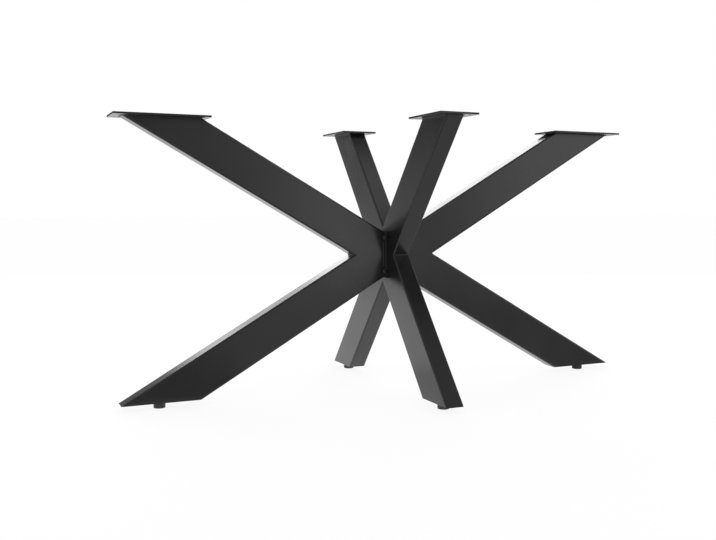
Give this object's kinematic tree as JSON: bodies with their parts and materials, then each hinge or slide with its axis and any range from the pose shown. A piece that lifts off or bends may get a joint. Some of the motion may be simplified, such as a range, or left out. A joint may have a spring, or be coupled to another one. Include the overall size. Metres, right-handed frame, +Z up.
{
  "type": "table frame",
  "caption": "Crossed spider-style table base of black rectangular tube: a long X of two halves joined to a short steep X, with mounting plates above and levelling glides below.",
  "frame": {"origin": "on the floor, under the crossing of the two X frames", "axes": "+X along the long frame, +Y along the short frame, +Z up"},
  "size_m": [1.545, 0.769, 0.738],
  "materials": {
    "powder_black": "smooth semi-gloss black powder coat with a fine texture",
    "black_screws": "blackened steel screws and washers",
    "zinc_steel": "bright zinc-plated steel thread and nuts",
    "glide_plastic": "hard black moulded plastic"
  },
  "bodies": {
    "frame": {"left_upper_arm": "powder_black", "left_lower_arm": "powder_black", "left_mount_plate": "powder_black", "left_foot_plate": "powder_black", "left_foot_nut": "zinc_steel", "right_upper_arm": "powder_black", "right_lower_arm": "powder_black", "right_mount_plate": "powder_black", "right_foot_plate": "powder_black", "right_foot_nut": "zinc_steel", "front_upper_arm": "powder_black", "front_lower_arm": "powder_black", "front_mount_plate": "powder_black", "front_foot_plate": "powder_black", "front_foot_nut": "zinc_steel", "back_upper_arm": "powder_black", "back_lower_arm": "powder_black", "back_mount_plate": "powder_black", "back_foot_plate": "powder_black", "back_foot_nut": "zinc_steel", "left_joint_plate": "powder_black", "left_joint_screws": "black_screws", "left_joint_washers": "black_screws", "left_joint_nuts": "zinc_steel", "right_joint_plate": "powder_black", "right_joint_screws": "black_screws", "right_joint_washers": "black_screws", "right_joint_nuts": "zinc_steel"},
    "left_glide": {"left_glide_pad": "glide_plastic", "left_glide_stem": "zinc_steel"},
    "right_glide": {"right_glide_pad": "glide_plastic", "right_glide_stem": "zinc_steel"},
    "front_glide": {"front_glide_pad": "glide_plastic", "front_glide_stem": "zinc_steel"},
    "back_glide": {"back_glide_pad": "glide_plastic", "back_glide_stem": "zinc_steel"}
  },
  "joints": [
    {"name": "left_glide_travel", "type": "slide", "parent": "frame", "child": "left_glide", "axis": [0, 0, -1], "range_m": [0, 0.01]},
    {"name": "right_glide_travel", "type": "slide", "parent": "frame", "child": "right_glide", "axis": [0, 0, -1], "range_m": [0, 0.01]},
    {"name": "front_glide_travel", "type": "slide", "parent": "frame", "child": "front_glide", "axis": [0, 0, -1], "range_m": [0, 0.01]},
    {"name": "back_glide_travel", "type": "slide", "parent": "frame", "child": "back_glide", "axis": [0, 0, -1], "range_m": [0, 0.01]}
  ]
}
